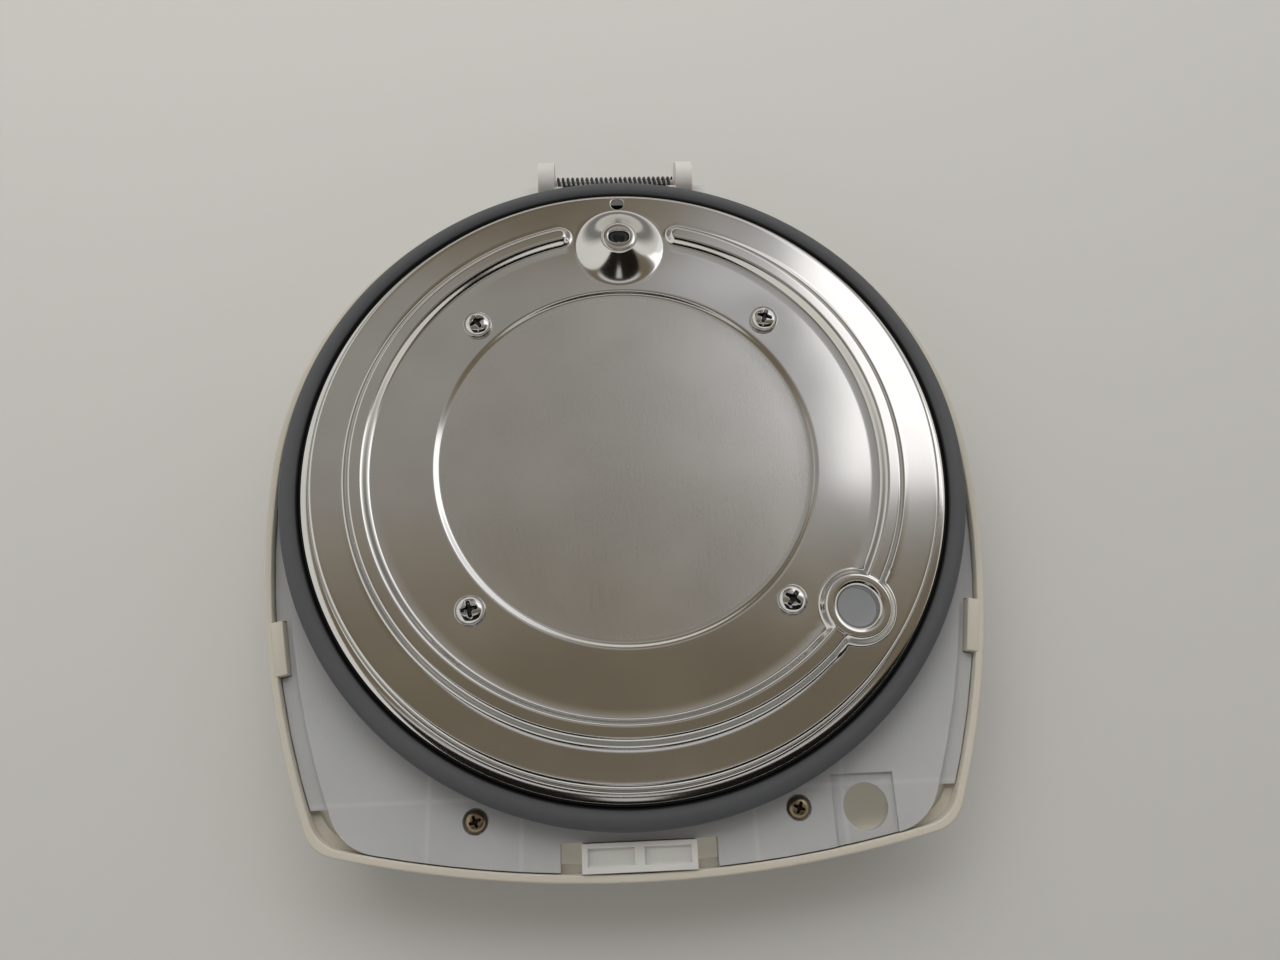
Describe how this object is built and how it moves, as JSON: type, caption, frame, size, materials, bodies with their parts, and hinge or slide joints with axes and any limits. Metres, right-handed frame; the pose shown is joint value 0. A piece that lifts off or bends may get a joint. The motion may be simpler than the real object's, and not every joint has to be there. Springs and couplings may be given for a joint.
{
  "type": "rice cooker lid",
  "caption": "Rice cooker lid assembly, underside up: polished heat plate, round seal, frosted frame in a cream shell, rear spring hinge and pull-off steam cap.",
  "frame": {"origin": "on the heat plate's axis, on the flat outer face that the lid lies on", "axes": "+Z out of the lid's underside, +Y towards the hinge, +X to the right seen from the latch side"},
  "size_m": [0.1988, 0.2149, 0.042],
  "materials": {
    "shell_plastic": "cream moulded polypropylene, satin with fine texture outside",
    "frosted_plastic": "frosted translucent natural polypropylene",
    "clear_plastic": "milky white translucent moulded plastic",
    "polished_steel": "stainless steel sheet, bright polished with a satin brushed middle disc",
    "grey_silicone": "grey moulded silicone with a dull sheen",
    "screw_steel": "bright stainless, cross-recess pan heads",
    "dark_screw": "bronze-tinted zinc plated steel",
    "spring_steel": "dark drawn spring wire",
    "black_rubber": "black moulded rubber"
  },
  "bodies": {
    "lid": {"outer_shell": "shell_plastic", "lid_frame": "frosted_plastic", "heat_plate": "polished_steel", "lid_gasket": "grey_silicone", "plate_screws": "screw_steel", "frame_screws": "dark_screw", "catch_block": "clear_plastic", "hinge_bracket": "clear_plastic", "bracket_screws": "dark_screw", "steam_duct": "frosted_plastic", "duct_upper_seal": "black_rubber", "duct_lower_seal": "black_rubber", "drain_valve": "black_rubber"},
    "hinge": {"hinge_shaft": "screw_steel", "shaft_rings": "screw_steel", "hinge_spring": "spring_steel"},
    "steam_cap": {"cap_base": "frosted_plastic", "cap_cover": "shell_plastic", "cap_gasket": "black_rubber", "valve_ball": "screw_steel"}
  },
  "joints": [
    {"name": "hinge_turn", "type": "hinge", "parent": "lid", "child": "hinge", "pos_m": [0, 0.1014, 0.021], "axis": [1, 0, 0], "range_deg": [0, 90], "stiffness_Nm_per_rad": 0.05, "deforming": ["hinge_spring"]},
    {"name": "cap_pull", "type": "slide", "parent": "lid", "child": "steam_cap", "axis": [0, 0, -1], "range_m": [0, 0.018]}
  ]
}
